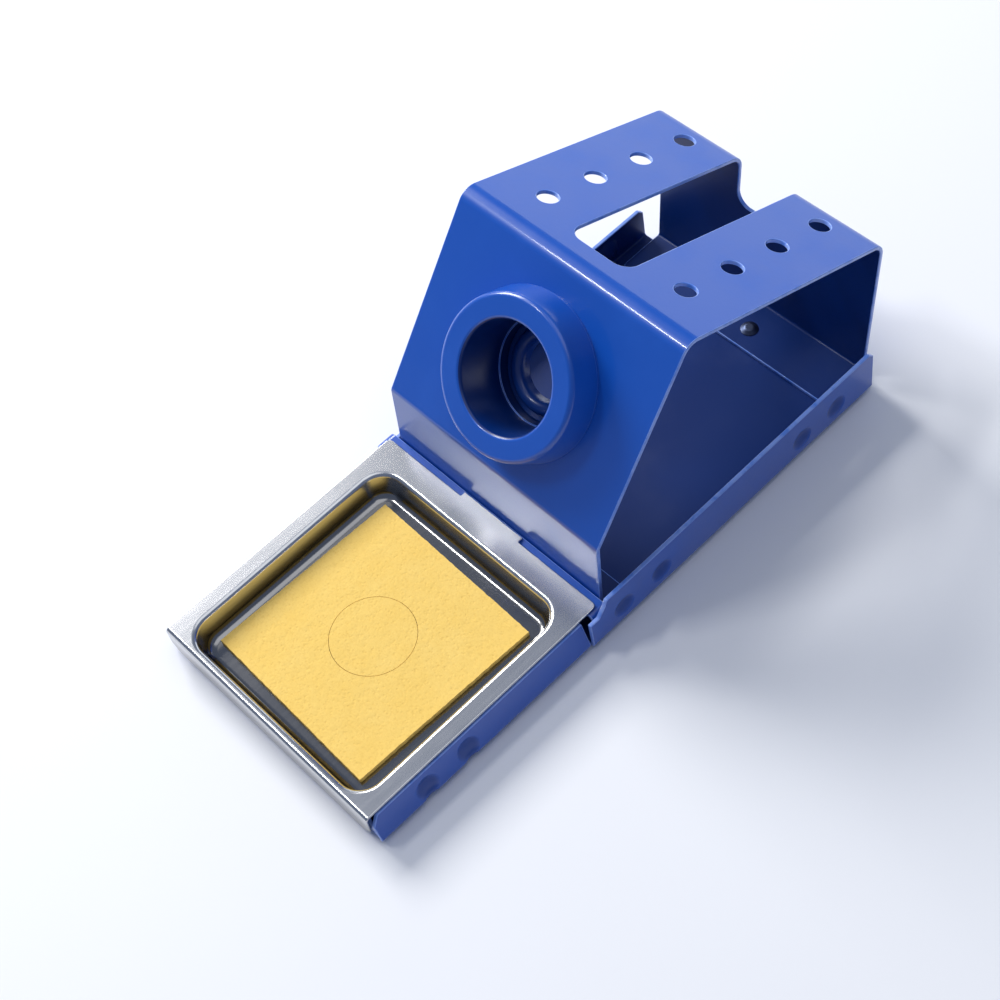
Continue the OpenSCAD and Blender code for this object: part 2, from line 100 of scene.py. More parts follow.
# iron socket
BORE_R = 14.8
COLLAR_R = 21.6
COLLAR_H = 9.2
COLLAR_ROUND = 1.4
TUBE_R = BORE_R + 2.2
SEAT_R = COLLAR_R + 1.3
SEAT_T = 0.7
STOP_DEPTH = 6.5
RING_DEPTH = 7.0
RING_H = 4.2
RING_R = BORE_R - 0.45
RING_BORE = 8.0
COLLAR_DROP = 0.5
RING_LIP = (RING_R - 2.2 - RING_BORE) / 2
TUBE_TAIL = 12.7
NUT_R = TUBE_R + 4.1
NUT_H = 3.6
WASHER_T = 0.8
FIT = 0.05

# sponge tray
HALF_TRAY = 40.5
WELL_HALF_X = 35.0
WELL_HALF_Y = 35.5
WELL_MID = 2.7 + WELL_HALF_Y
WELL_CORNER = 7.0
WELL_DRAFT = 1.6
WELL_FLOOR = SHEET_T + 0.4 + TRAY_T
APRON_LOW = 1.15
TAB_HALF = 11.3
RIM_CORNER = 1.6

# sponge
SPONGE_HALF = 29.45
SPONGE_T = 1.8
SPONGE_X = -0.6
SPONGE_AHEAD = 0.4
SPONGE_TURN = math.radians(-1.6)
DISC_R = 11.9

# the tray front and the underside of the floor, as packed
TRAY_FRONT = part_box("sponge_tray")[0].y
FLOOR_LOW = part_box("base_channel")[0].z


def placed(x, y, z):
    """A point of the stand, given in millimetres, in the frame's metres."""
    return Vector((x * MM, y * MM + TRAY_FRONT, z * MM + FLOOR_LOW))


# ---- surfaces --------------------------------------------------------------

class Skin:
    """A surface gathered face by face. Each corner brings its point, its normal and its edge value, which is
    1 on rounded edges (a painted highlight), 0 on outer faces and below 0 where the paint is darkened as
    painted shade."""

    def __init__(self):
        self.points, self.known, self.faces, self.normals, self.edges = [], {}, [], [], []

    def spot(self, point):
        key = tuple(round(c * 1e6) for c in point)
        if key not in self.known:
            self.known[key] = len(self.points)
            self.points.append(tuple(point))
        return self.known[key]

    def face(self, *corners):
        """A face of (point, normal, edge) corners, turned to look the way its normals do."""
        kept, seen = [], set()
        for point, normal, edge in corners:
            i = self.spot(point)
            if i not in seen:
                seen.add(i)
                kept.append((i, normal, edge))
        if len(kept) < 3:
            return
        a, b, c = (Vector(self.points[kept[k][0]]) for k in (0, 1, 2))
        facing = (b - a).cross(c - a)
        if len(kept) > 3:
            facing = facing + (c - a).cross(Vector(self.points[kept[3][0]]) - a)
        mean = sum((Vector(k[1]) for k in kept), Vector())
        if facing.dot(mean) < 0:
            kept.reverse()
        self.faces.append([k[0] for k in kept])
        self.normals += [tuple(k[1]) for k in kept]
        self.edges += [k[2] for k in kept]

    def build(self, name, finish, body, *nodes, slot):
        """The finished piece: it rides on a body and stands for CAD nodes."""
        mesh = bpy.data.meshes.new(name)
        mesh.from_pydata(self.points, [], self.faces)
        mesh.polygons.foreach_set("use_smooth", [True] * len(mesh.polygons))
        edge = mesh.attributes.new("edge", "FLOAT", "CORNER")
        edge.data.foreach_set("value", self.edges)
        mesh.normals_split_custom_set(self.normals)
        return dress(bpy.data.objects.new(name, mesh), finish, body, nodes)


def dress(piece, finish, body, nodes):
    """Puts a piece in the scene with its finish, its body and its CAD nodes."""
    bpy.context.scene.collection.objects.link(piece)
    piece.data.materials.append(finish)
    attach(piece, body)
    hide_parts(*nodes)
    return piece


# ---- flat outlines ---------------------------------------------------------

# corners that turn by more than SHARP keep two normals; points closer than NEAR lie on one fold line,
# and points closer than SAME are one point
SHARP = math.radians(35)
NEAR = 1e-4
SAME = 1e-6


def rounded(points, radii, step=math.radians(12)):
    """An outline with its corners rounded, as plain points."""
    out = []
    for i, corner in enumerate(points):
        radius = radii[i] if isinstance(radii, (list, tuple)) else radii
        b = Vector(corner)
        before = (Vector(points[i - 1]) - b).normalized()
        after = (Vector(points[(i + 1) % len(points)]) - b).normalized()
        half = before.angle(after) / 2
        if radius <= 0 or half > math.pi / 2 - 0.01:
            out.append(tuple(b))
            continue
        middle = b + (before + after).normalized() * radius / math.sin(half)
        start = b + before * radius / math.tan(half) - middle
        turn = math.pi - 2 * half
        if before.x * after.y - before.y * after.x > 0:
            turn = -turn
        count = max(2, math.ceil(abs(turn) / step))
        for k in range(count + 1):
            angle = turn * k / count
            c, s = math.cos(angle), math.sin(angle)
            out.append((middle.x + c * start.x - s * start.y, middle.y + s * start.x + c * start.y))
    return out


def circle(x, y, radius, count=48):
    return [(x + radius * math.cos(math.tau * k / count), y + radius * math.sin(math.tau * k / count))
            for k in range(count)]


def area(loop):
    """The area of a loop, above 0 if it runs counter-clockwise."""
    return sum(loop[i - 1][0] * p[1] - p[0] * loop[i - 1][1] for i, p in enumerate(loop)) / 2


def inside(points, loop):
    """Which of the points lie inside the loop."""
    points, loop = np.asarray(points, float), np.asarray(loop, float)
    ahead = np.roll(loop, -1, 0)
    hit = np.zeros(len(points), bool)
    for (x0, y0), (x1, y1) in zip(loop, ahead):
        if y0 != y1:
            crossing = (y0 > points[:, 1]) != (y1 > points[:, 1])
            hit ^= crossing & (points[:, 0] < (x1 - x0) * (points[:, 1] - y0) / (y1 - y0) + x0)
    return hit


def within(points, loops):
    """Which of the points lie inside the first loop and outside the others."""
    kept = inside(points, loops[0])
    for hole in loops[1:]:
        kept &= ~inside(points, hole)
    return kept


def cut_at(loop, folds):
    """The loop with a point wherever one of its edges crosses a fold line square on."""
    out = []
    for i, p in enumerate(loop):
        q = loop[(i + 1) % len(loop)]
        out.append(tuple(p))
        cuts = []
        for axis, value, low, high in folds:
            across = 1 - axis
            if abs(p[across] - q[across]) < NEAR and low <= p[across] <= high:
                if min(p[axis], q[axis]) + NEAR < value < max(p[axis], q[axis]) - NEAR:
                    point = [0.0, 0.0]
                    point[axis], point[across] = value, p[across]
                    cuts.append(tuple(point))
        cuts.sort(key=lambda c: abs(c[0] - p[0]) + abs(c[1] - p[1]))
        for c in cuts:
            if abs(c[0] - out[-1][0]) + abs(c[1] - out[-1][1]) > SAME:
                out.append(c)
    return out


def outward(loop):
    """For each point of a loop: how to step inward by 1, and the outward normal on its two sides."""
    count = len(loop)
    side = []
    for i in range(count):
        dx, dy = loop[(i + 1) % count][0] - loop[i][0], loop[(i + 1) % count][1] - loop[i][1]
        length = math.hypot(dx, dy)
        side.append(Vector((dy / length, -dx / length)))
    out = []
    for i in range(count):
        a, b = side[i - 1], side[i]
        mean = (a + b).normalized()
        step = mean / max(0.35, mean.dot(a))
        out.append((step, a, b) if a.angle(b) > SHARP else (step, mean, mean))
    return out


def face_triangles(loops, extra=(), rings=(), links=()):
    """Triangles that fill the first loop but not the others. They pass through the extra points and the
    rings, and through the links, which join points of the loops by their numbers."""
    points, edges = [], []

    def add(loop):
        first = len(points)
        points.extend(loop)
        edges.extend((first + i, first + (i + 1) % len(loop)) for i in range(len(loop)))

    for loop in loops:
        add(loop)
    points += extra
    for ring in rings:
        add(ring)
    edges += links
    found = delaunay_2d_cdt([Vector(p) for p in points], edges, [], 0, 1e-9)
    spots, triangles, source = found[0], found[2], found[3]
    flat = np.array([tuple(s) for s in spots])
    for i, origin in enumerate(source):
        if origin:
            flat[i] = points[origin[0]]
    keep = within(flat[np.array(triangles)].mean(1), loops)
    return [[tuple(flat[i]) for i in t] for t, k in zip(triangles, keep) if k]


# ---- folded sheets ---------------------------------------------------------

def fold_links(folds, loops):
    """Links that carry each fold line over the sheet, from one of its edges to the next."""
    every = [p for loop in loops for p in loop]
    links = []
    for axis, value, low, high in folds:
        across = 1 - axis
        on = sorted((p[across], i) for i, p in enumerate(every)
                    if abs(p[axis] - value) < NEAR and low <= p[across] <= high)
        spans = []
        for (a, i), (b, j) in zip(on, on[1:]):
            middle = [0.0, 0.0]
            middle[axis], middle[across] = value, (a + b) / 2
            spans.append((middle, (i, j), b - a))
        if spans:
            metal = within([middle for middle, _, _ in spans], loops)
            links += [link for (_, link, gap), ok in zip(spans, metal) if ok and gap > SAME]
    return links


def cut_edge(skin, loop, side, place, spot, thickness, rim):
    """The cut edge of a sheet along a loop, rounded by rim on both faces."""
    arc = [math.pi / 2 * k / 4 for k in range(5)]
    profile = [(rim * (1 - math.sin(a)), rim * (1 - math.cos(a)), math.sin(a), math.cos(a)) for a in arc]
    profile += [(p[0], thickness - p[1], p[2], -p[3]) for p in profile[::-1]]
    nudge = 0.01
    rows = []
    for p, (step, left, right) in zip(loop, side):
        row = []
        for inset, depth, out_share, up_share in profile:
            q = (p[0] - step[0] * inset, p[1] - step[1] * inset)
            point, normal = spot(q)
            low = place(q[0] - nudge, q[1])[0], place(q[0], q[1] - nudge)[0]
            high = place(q[0] + nudge, q[1])[0], place(q[0], q[1] + nudge)[0]
            along = (high[0] - low[0]).normalized(), (high[1] - low[1]).normalized()
            corner = [((along[0] * m[0] + along[1] * m[1]).normalized() * out_share
                       + normal * up_share).normalized() for m in (left, right)]
            row.append((placed(*(point - normal * depth)), *corner))
        rows.append(row)
    for i, row in enumerate(rows):
        ahead = rows[(i + 1) % len(rows)]
        for k in range(len(row) - 1):
            # the rounded cut edge gets edge value 1, which blue paint turns into a painted highlight
            skin.face((row[k][0], row[k][2], 1), (row[k + 1][0], row[k + 1][2], 1),
                      (ahead[k + 1][0], ahead[k + 1][1], 1), (ahead[k][0], ahead[k][1], 1))


def sheet(skin, loops, place, thickness, rim, folds=(), rings=(), open_holes=(), mark=None):
    """A sheet of metal cut to loops in the flat and folded by place(u, v), which gives the point and
    normal of its outer face in millimetres. Its cut edges are rounded by rim. Holes numbered in
    open_holes get no edge, because another surface carries on from there. mark(u, v) gives the edge
    value of the outer face, which is 0 without it."""
    loops = [cut_at(loop, folds) for loop in loops]
    loops = [loop if (area(loop) > 0) == (i == 0) else loop[::-1] for i, loop in enumerate(loops)]
    sides = [outward(loop) for loop in loops]
    inner = []
    for i, (loop, side) in enumerate(zip(loops, sides)):
        inset = 0 if i in open_holes else rim
        inner.append([(p[0] - s[0][0] * inset, p[1] - s[0][1] * inset) for p, s in zip(loop, side)])
    known = {}

    def spot(p):
        key = (round(p[0], 6), round(p[1], 6))
        if key not in known:
            known[key] = place(*p)
        return known[key]

    for triangle in face_triangles(inner, rings=rings, links=fold_links(folds, inner)):
        top = [spot(p) for p in triangle]
        skin.face(*[(placed(*p), n, mark(*q) if mark else 0) for (p, n), q in zip(top, triangle)])
        # the inner face gets edge value -1, which blue paint turns into painted shade
        skin.face(*[(placed(*(p - n * thickness)), -n, -1) for p, n in top])
    for i, (loop, side) in enumerate(zip(loops, sides)):
        if i not in open_holes:
            cut_edge(skin, loop, side, place, spot, thickness, rim)


class Fold:
    """The outer face of a folded sheet from the side: straight runs and round bends to the right."""

    def __init__(self, path, radii):
        self.pieces, self.starts, s = [], [], 0.0
        path = [Vector(p) for p in path]
        reach = [0.0] * len(path)
        for i in range(1, len(path) - 1):
            before, after = (path[i - 1] - path[i]), (path[i + 1] - path[i])
            reach[i] = radii[i] / math.tan(before.angle(after) / 2)
        self.reach = reach
        for i in range(len(path) - 1):
            way = (path[i + 1] - path[i]).normalized()
            length = (path[i + 1] - path[i]).length - reach[i] - reach[i + 1]
            self.starts.append(s)
            self.pieces.append((s, s + length, path[i] + way * reach[i], way, 0.0))
            s += length
            if i + 2 < len(path):
                ahead = (path[i + 2] - path[i + 1]).normalized()
                bend = way.angle(ahead) * radii[i + 1]
                self.pieces.append((s, s + bend, path[i + 1] - way * reach[i + 1], way, radii[i + 1]))
                s += bend
        self.length = s

    def at(self, s):
        """The point and normal after a length s of the outer face."""
        for low, high, start, way, radius in self.pieces:
            if s <= high or high == self.length:
                break
        normal = Vector((-way.y, way.x))
        if radius == 0:
            return start + way * (s - low), normal
        angle = (s - low) / radius
        middle = start - normal * radius
        turned = Vector((normal.x * math.cos(angle) + normal.y * math.sin(angle),
                         normal.y * math.cos(angle) - normal.x * math.sin(angle)))
        return middle + turned * radius, turned

    def across(self, u, v):
        """The point and normal of a sheet whose fold lines run along x."""
        (y, z), (ny, nz) = self.at(v)
        return Vector((u, y, z)), Vector((0, ny, nz))

    def run(self, i, distance):
        """Where a place on run i lies in the flat, from its distance to the sharp corner it starts at."""
        return self.starts[i] + distance - self.reach[i]

    def lines(self, low, high, step=math.radians(6)):
        """Fold lines across the bends, from one side of the sheet to the other."""
        out = []
        for start, end, _, _, radius in self.pieces:
            if radius:
                count = max(3, math.ceil((end - start) / radius / step))
                out += [(1, start + (end - start) * k / count, low, high) for k in range(count + 1)]
        return out


# ---- swept and turned surfaces ----------------------------------------------

def contour(points, radii, closed=True, step=math.radians(10)):
    """A profile as short lines, each (point, normal, next point, next normal, edge value). The profile
    runs with its outside on the right."""
    count = len(points)
    path = [Vector(p) for p in points]
    ends, lines = [], []
    for i, b in enumerate(path):
        if not closed and i in (0, count - 1):
            ends.append((b, b, None))
            continue
        before, after = path[i - 1] - b, path[(i + 1) % count] - b
        half = before.angle(after) / 2
        reach = radii[i] / math.tan(half) if radii[i] else 0
        ends.append((b + before.normalized() * reach, b + after.normalized() * reach, half))
    for i in range(count):
        start, end, half = ends[i]
        if radii[i] and half is not None:
            before = (path[i] - path[i - 1]).normalized()
            after = (path[(i + 1) % count] - path[i]).normalized()
            left = before.x * after.y - before.y * after.x > 0
            turn = before.angle(after)
            n0 = Vector((before.y, -before.x))
            middle = start - n0 * radii[i] if left else start + n0 * radii[i]
            pieces = max(2, math.ceil(turn / step))
            spots = []
            for k in range(pieces + 1):
                a = turn * k / pieces * (1 if left else -1)
                n = Vector((n0.x * math.cos(a) - n0.y * math.sin(a), n0.x * math.sin(a) + n0.y * math.cos(a)))
                spots.append((middle + n * radii[i] * (1 if left else -1), n))
            # roundings under 0.5 get edge value 1, which blue paint turns into a painted highlight; larger
            # ones get 0
            lines += [(p, n, q, m, 1 if radii[i] < 0.5 else 0) for (p, n), (q, m) in zip(spots, spots[1:])]
        if closed or i < count - 1:
            a, b = end, ends[(i + 1) % count][0]
            if (b - a).length > 1e-9:
                way = (b - a).normalized()
                n = Vector((way.y, -way.x))
                lines.append((a, n, b, n, 0))
    return lines


def sweep(skin, lines, ring, put, closed=True):
    """A profile carried around a ring of (centre x, centre y, out x, out y). The profile's first number
    is measured out from the centre, its second is up."""
    turned = put.to_3x3()

    def corner(station, point, normal, edge):
        cx, cy, ox, oy = station
        at = put @ Vector((cx + ox * point[0], cy + oy * point[0], point[1]))
        return placed(*at), (turned @ Vector((ox * normal[0], oy * normal[0], normal[1]))).normalized(), edge

    count = len(ring)
    for i in range(count if closed else count - 1):
        a, b = ring[i], ring[(i + 1) % count]
        for p, n, q, m, edge in lines:
            skin.face(corner(a, p, n, edge), corner(a, q, m, edge),
                      corner(b, q, m, edge), corner(b, p, n, edge))


def turning(count):
    """The ring of a turned piece."""
    return [(0, 0, math.cos(math.tau * k / count), math.sin(math.tau * k / count)) for k in range(count)]


def box_ring(half_x, half_y, corner, per_corner=16):
    """The ring of a rounded rectangle: its corner centres, with the directions out from them."""
    out = []
    for quarter, (sx, sy) in enumerate(((1, 1), (-1, 1), (-1, -1), (1, -1))):
        for k in range(per_corner + 1):
            a = math.pi / 2 * (quarter + k / per_corner)
            out.append((sx * (half_x - corner), sy * (half_y - corner), math.cos(a), math.sin(a)))
    return out


# ---- finishes --------------------------------------------------------------

class Wire:
    """A value running through a finish. Arithmetic on it adds Math nodes."""

    def __init__(self, finish, socket):
        self.finish, self.socket = finish, socket

    def math(self, operation, *parts, clamp=False):
        return self.finish.node("ShaderNodeMath", {"operation": operation, "use_clamp": clamp},
                                dict(enumerate(parts)))

    def __add__(self, other):
        return self.math("ADD", self, other)

    def __sub__(self, other):
        return self.math("SUBTRACT", self, other)

    def __rsub__(self, other):
        return self.math("SUBTRACT", other, self)

    def __mul__(self, other):
        return self.math("MULTIPLY", self, other)

    __radd__, __rmul__ = __add__, __mul__

    def clamped(self):
        return self.math("ADD", self, 0.0, clamp=True)

    def between(self, low, high):
        """0 below low, 1 above high, and smooth in between."""
        return self.finish.node("ShaderNodeMapRange", {"interpolation_type": "SMOOTHSTEP", "clamp": True},
                                {"Value": self, "From Min": low, "From Max": high})


class Finish:
    """A material, with one method that adds any node to it."""

    def __init__(self, name):
        self.material = bpy.data.materials.new(name)
        self.material.use_nodes = True
        self.tree = self.material.node_tree
        self.shader = next(n for n in self.tree.nodes if n.type == "BSDF_PRINCIPLED")

    def set(self, inputs):
        """Sets or links the shader's own sockets, by name."""
        for name, value in inputs.items():
            self.feed(self.shader.inputs[name], value)

    def feed(self, socket, value):
        if isinstance(value, Wire):
            self.tree.links.new(value.socket, socket)
        else:
            socket.default_value = value

    def node(self, kind, settings=None, inputs=None, output=0):
        """Any node: its settings first, then the values or wires of its sockets."""
        made = self.tree.nodes.new(kind)
        for name, value in (settings or {}).items():
            if name == "stops":
                ramp = made.color_ramp
                while len(ramp.elements) < len(value):
                    ramp.elements.new(0.5)
                for element, (place, colour) in zip(ramp.elements, value):
                    element.position, element.color = place, (*colour, 1)
            else:
                setattr(made, name, value)
        for name, value in (inputs or {}).items():
            self.feed(made.inputs[name], value)
        return Wire(self, made.outputs[output])

    def spot(self):
        """The place on the piece, in metres."""
        return self.node("ShaderNodeTexCoord", output="Object")

    def stretched(self, x, y, z):
        return self.node("ShaderNodeMapping", {}, {"Vector": self.spot(), "Scale": (x, y, z)})

    def noise(self, per_metre, detail=2.0, rough=0.5, at=None, twist=0.0):
        return self.node("ShaderNodeTexNoise", {},
                         {"Vector": at or self.spot(), "Scale": per_metre, "Detail": detail,
                          "Roughness": rough, "Distortion": twist})

    def cells(self, per_metre, feature="F1", at=None):
        return self.node("ShaderNodeTexVoronoi", {"feature": feature},
                         {"Vector": at or self.spot(), "Scale": per_metre})

    def edge(self):
        """1 on rounded edges, 0 on outer faces and -1 on the inner face of a sheet: blue paint paints a
        highlight above 0 and shade below 0.
        """
        return self.node("ShaderNodeAttribute", {"attribute_name": "edge"}, output="Fac")

    def mix(self, share, low, high):
        """From colour low to colour high."""
        inputs = {0: share}
        inputs[6] = low if isinstance(low, Wire) else (*low, 1)
        inputs[7] = high if isinstance(high, Wire) else (*high, 1)
        return self.node("ShaderNodeMix", {"data_type": "RGBA"}, inputs, output=2)

    def bump(self, height, depth, strength=1.0):
        """A normal that follows height, which reaches depth metres."""
        return self.node("ShaderNodeBump", {}, {"Height": height, "Distance": depth, "Strength": strength})


def blue_paint():
    """Smooth enamel with a faint orange peel and rubbed places. It is paler on rounded edges, a painted
    highlight that is partly paint worn thin, and darker where the edge value is below 0, which is painted
    shade."""
    paint = Finish("blue_paint")
    peel = paint.noise(700, 2) * 0.7 + paint.noise(2600, 1) * 0.3
    rubbed = paint.noise(38, 4, 0.6).between(0.45, 0.75)
    marked = paint.edge()
    edge, inner = marked.clamped(), (marked * -1).clamped()
    # patches of the rounded edges paled further: paint worn thin there, and painted highlight
    edge_wear_and_highlight = (edge * paint.noise(160, 3, 0.7).between(0.3, 0.6)).clamped()
    deep = paint.mix(rubbed, (0.0015, 0.076, 0.44), (0.002, 0.084, 0.47))
    # inner faces, the socket's bore and ring and the dimples get a near-black blue: painted shade
    deep = paint.mix(inner * 0.8, deep, (0.0003, 0.008, 0.07))
    # rounded edges get a paler blue: painted highlight, partly paint worn thin
    colour = paint.mix(edge * 0.75, deep, (0.10, 0.25, 0.78))
    paint.set({
        "IOR": 1.5,
        "Coat Roughness": 0.09,
        "Base Color": paint.mix(edge_wear_and_highlight * 0.4, colour, (0.40, 0.52, 0.88)),
        "Roughness": 0.3 + rubbed * 0.07 + paint.noise(1400, 2) * 0.05,
        "Coat Weight": 0.55 - rubbed * 0.15 - inner * 0.5,
        "Normal": paint.bump(peel, 0.00005, 0.35)
    })
    return paint.material


def tray_steel():
    """Pressed stainless steel in its own tone on the rim; down in the well its colour is darkened as painted
    shade.
    """
    steel = Finish("tray_steel")
    height = steel.node("ShaderNodeSeparateXYZ", {}, {0: steel.spot()}, output=2)
    # well rises from 0 on the rim to 1 on the well floor, where it darkens the colour as painted shade
    well = 1 - height.between((WELL_FLOOR + FOOT_H + 0.8) * MM, (RIM_TOP + FOOT_H - 0.5) * MM)
    grain = steel.noise(900, 3, 0.6, at=steel.stretched(1, 0.06, 1))
    speckle = steel.noise(5200, 2)
    cloudy = steel.noise(45, 3)
    bare_steel_tone = steel.mix(cloudy, (0.56, 0.57, 0.58), (0.64, 0.64, 0.65))
    steel.set({
        "Metallic": 1.0,
        "Base Color": steel.mix(well * (0.75 + cloudy * 0.25), bare_steel_tone, (0.24, 0.235, 0.23)),
        "Roughness": 0.17 + grain * 0.05 + cloudy * 0.05 - well * 0.05,
        "Normal": steel.bump(grain * 0.8 + speckle * 0.2, 0.00001, 0.12)
    })
    return steel.material


def sponge_foam():
    """Pressed cellulose: pale yellow, matt and full of small pits."""
    sponge = Finish("sponge_foam")
    grain = sponge.noise(1500, 4, 0.65)
    pits = sponge.cells(900).between(0.1, 0.45)
    blotch = sponge.noise(110, 3, 0.6)
    ridges = sponge.noise(520, 3, 0.6, at=sponge.stretched(1, 1.7, 1), twist=0.8)
    light = sponge.mix(blotch, (0.86, 0.57, 0.13), (0.90, 0.64, 0.19))
    dark = (1 - pits) * 0.14 + (1 - grain.between(0.3, 0.55)) * 0.3
    sponge.set({
        "Specular IOR Level": 0.25,
        "Base Color": sponge.mix(dark, light, (0.70, 0.42, 0.08)),
        "Roughness": 0.88 + grain * 0.1,
        "Normal": sponge.bump(grain * 0.35 + pits * 0.25 + ridges * 0.4, 0.0002, 0.9)
    })
    return sponge.material


def plated(name, colour, rough):
    """Plated steel with small differences in its sheen."""
    plate = Finish(name)
    cloud = plate.noise(180, 4, 0.6)
    plate.set({
        "Metallic": 1.0,
        "Base Color": plate.mix(cloud, tuple(c * 0.85 for c in colour), colour),
        "Roughness": rough + cloud * 0.12,
        "Normal": plate.bump(plate.noise(2400, 3), 0.00002, 0.4)
    })
    return plate.material


def matt(name, dark, light, rough, per_metre):
    """A dull moulded or pressed surface."""
    dull = Finish(name)
    grain = dull.noise(per_metre, 4, 0.6)
    dull.set({
        "Base Color": dull.mix(grain, dark, light),
        "Roughness": rough + grain * 0.1,
        "Normal": dull.bump(grain, 0.00008, 0.5)
    })
    return dull.material


PAINT = blue_paint()
STEEL = tray_steel()
FOAM = sponge_foam()
NUT_PLATE = plated("nut_plate", (0.62, 0.61, 0.57), 0.3)
# the rivets' very dark blue-grey is partly a dark plate and partly painted shade for their place inside the
# stand
RIVET_PLATE_AND_SHADE = plated("rivet_plate", (0.07, 0.09, 0.16), 0.36)
FIBRE = matt("fibre", (0.035, 0.03, 0.028), (0.07, 0.062, 0.056), 0.75, 1600)
RUBBER = matt("foot_rubber", (0.012, 0.012, 0.013), (0.024, 0.024, 0.025), 0.7, 2200)

# ---- base ------------------------------------------------------------------

# in the flat, u runs over the width and v back from the front; a side flange's round bend lies
# between u = BEND_START and BEND_START + 1, whatever its lean
EDGE = 0.28
BEND_START = 41.5
NOTCH_U = BEND_START + 0.02
LOW_START, LOW_END = 0.9, TRAY_LEN - 6.4
SEAM = 0.5
HIGH_START = LOW_END + SEAM
FRONT_FLANGE_Y = 1.05
FRONT_FLANGE_H = LOW_FLANGE_H - 1.9
FRONT_HALF = 41.2
FRONT_BEND = FRONT_FLANGE_Y + FLOOR_BEND
RELIEF_U = BEND_START + 0.35
RELIEF_DEPTH = 3.4
LEFT_RISE_START, LEFT_RISE_END = TRAY_LEN + 6.5, TRAY_LEN + 9.9
DIMPLE_R, DIMPLE_DEPTH = 3.7, 1.1
DIMPLE_RINGS = (0.8, 1.6, 2.3, 2.9, 3.3, 3.55, 3.65, 3.75, 3.9, 4.2)
DIMPLE_ROOM = 6.0

front_foot = Vector((BAR_REAR + 0.3 - (LOW_FLANGE_H - SHEET_T) * math.tan(STRIP_LEAN), SHEET_T))
low_corner = Vector((front_foot.x + (STRIP_TOP - SHEET_T) * math.tan(STRIP_LEAN), STRIP_TOP))
high_corner = low_corner + INCLINE_LEN * Vector((math.cos(INCLINE), math.sin(INCLINE)))
rear_corner = high_corner + TOP_LEN * Vector((math.cos(TOP_FALL), -math.sin(TOP_FALL)))
back_foot = Vector((rear_corner.x - (rear_corner.y - SHEET_T) * math.tan(BACK_LEAN), SHEET_T))
BASE_LEN = back_foot.x - 2.8
TONGUE_END = back_foot.x + 1.4
RIVET_R = 1.6
RIVET_HEAD_R = 2.9
RIVET_PAIRS = [(back_foot.x - BACK_FOOT / 2 - FOOT_BEND, 5.5),
               (front_foot.x + (FRONT_FOOT + FOOT_BEND) / 2, HALF_COVER - 13)]
RIVETS = [(x, y) for y, half in RIVET_PAIRS for x in (half, -half)]


def flange_reach(lean):
    """How far a side flange's bend starts in from the sharp corner of floor and flange."""
    return FLOOR_BEND * math.tan((math.pi / 2 + lean) / 2)


def flange_u(z, lean):
    """Where a height on a side flange lies in the flat."""
    return BEND_START + 1 + (z - FLOOR_BEND * (1 + math.sin(lean))) / math.cos(lean)


HIGH_DIMPLES = (TRAY_LEN + 6.1, TRAY_LEN + 20.1, BASE_LEN - 29.2, BASE_LEN - 15.3)
DIMPLES = [(y, LOW_FLANGE_H / 2, LEAN) for y in (18.1, 32.2)] + [(y, 6.9, 0.0) for y in HIGH_DIMPLES]
# the first high dimple is on the right flange only, because the left one is too low there
DIMPLE_SPOTS = [(side * (BEND_START + 1 + height - flange_reach(lean)), y)
                for y, height, lean in DIMPLES for side in (1, -1) if side == 1 or y != HIGH_DIMPLES[0]]


def channel(u, v):
    """The base's outer face: floor, side flanges and the front flange, folded up from the flat."""
    if abs(u) < FRONT_HALF + 0.2 and v < FRONT_BEND:
        t = FRONT_BEND - v
        if t <= 1:
            a = t * math.pi / 2
            return (Vector((u, FRONT_BEND - FLOOR_BEND * math.sin(a), FLOOR_BEND * (1 - math.cos(a)))),
                    Vector((0, -math.sin(a), -math.cos(a))))
        return Vector((u, FRONT_FLANGE_Y, FLOOR_BEND + t - 1)), Vector((0, -1, 0))
    side = 1 if u >= 0 else -1
    a = abs(u)
    if a <= BEND_START:
        return Vector((u, v, 0)), Vector((0, 0, -1))
    lean = LEAN if v < LOW_END + SEAM / 2 else 0.0
    start = HALF_W - flange_reach(lean)
    straight = start - BEND_START
    bend = FLOOR_BEND * (math.pi / 2 + lean)
    travel = min(a - BEND_START, 1) * (straight + bend)
    if travel < straight:
        return Vector((side * (BEND_START + travel), v, 0)), Vector((0, 0, -1))
    angle = (travel - straight) / FLOOR_BEND
    out = Vector((math.sin(angle), -math.cos(angle)))
    at = Vector((start, FLOOR_BEND)) + out * FLOOR_BEND
    up = max(a - BEND_START - 1, 0)
    at = at + Vector((-math.sin(lean), math.cos(lean))) * up
    return Vector((side * at.x, v, at.y)), Vector((side * out.x, 0, out.y))


def dimple(u, v):
    """How far a flange is pressed in."""
    depth, softness = 0.0, 0.0008
    for du, dv in DIMPLE_SPOTS:
        r2 = (u - du) ** 2 + (v - dv) ** 2
        if r2 < DIMPLE_ROOM ** 2:
            c = DIMPLE_DEPTH * (1 - r2 / DIMPLE_R ** 2)
            depth += (c + math.sqrt(c * c + softness)) / 2
    return depth


def pressed_channel(u, v):
    """The base's outer face with its dimples."""
    point, normal = channel(u, v)
    if min((u - du) ** 2 + (v - dv) ** 2 for du, dv in DIMPLE_SPOTS) > DIMPLE_ROOM ** 2:
        return point, normal

    def at(a, b):
        p, n = channel(a, b)
        return p - n * dimple(a, b)

    nudge = 0.01
    tilted = (at(u + nudge, v) - at(u - nudge, v)).cross(at(u, v + nudge) - at(u, v - nudge)).normalized()
    return at(u, v), tilted if tilted.dot(normal) > 0 else -tilted


